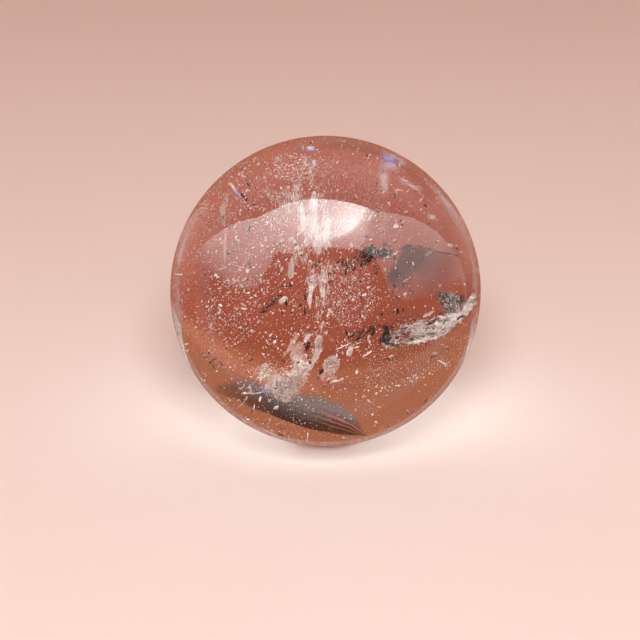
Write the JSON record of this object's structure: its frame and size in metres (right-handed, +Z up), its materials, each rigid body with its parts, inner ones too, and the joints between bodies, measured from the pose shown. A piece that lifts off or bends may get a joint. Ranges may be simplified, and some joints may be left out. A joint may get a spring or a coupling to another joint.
{
  "type": "quartz sphere",
  "caption": "Solid ball of clear polished rock crystal with veils and fractures inside, resting on a small ground flat.",
  "frame": {"origin": "centre of the small flat that the sphere rests on, at the surface it stands on", "axes": "+Z up through the middle of the sphere and its top, -Y towards the side that the picture shows"},
  "size_m": [0.05, 0.05, 0.0498],
  "materials": {
    "polished_quartz": "polished, see-through",
    "white_veil": "fine frosted flakes and bubbles inside the crystal",
    "silver_fracture": "bright crumpled mirror of an open fracture inside the crystal",
    "dark_grains": "near-black glossy mineral grains inside the crystal"
  },
  "bodies": {
    "root": {"quartz_sphere": "polished_quartz"}
  },
  "joints": []
}
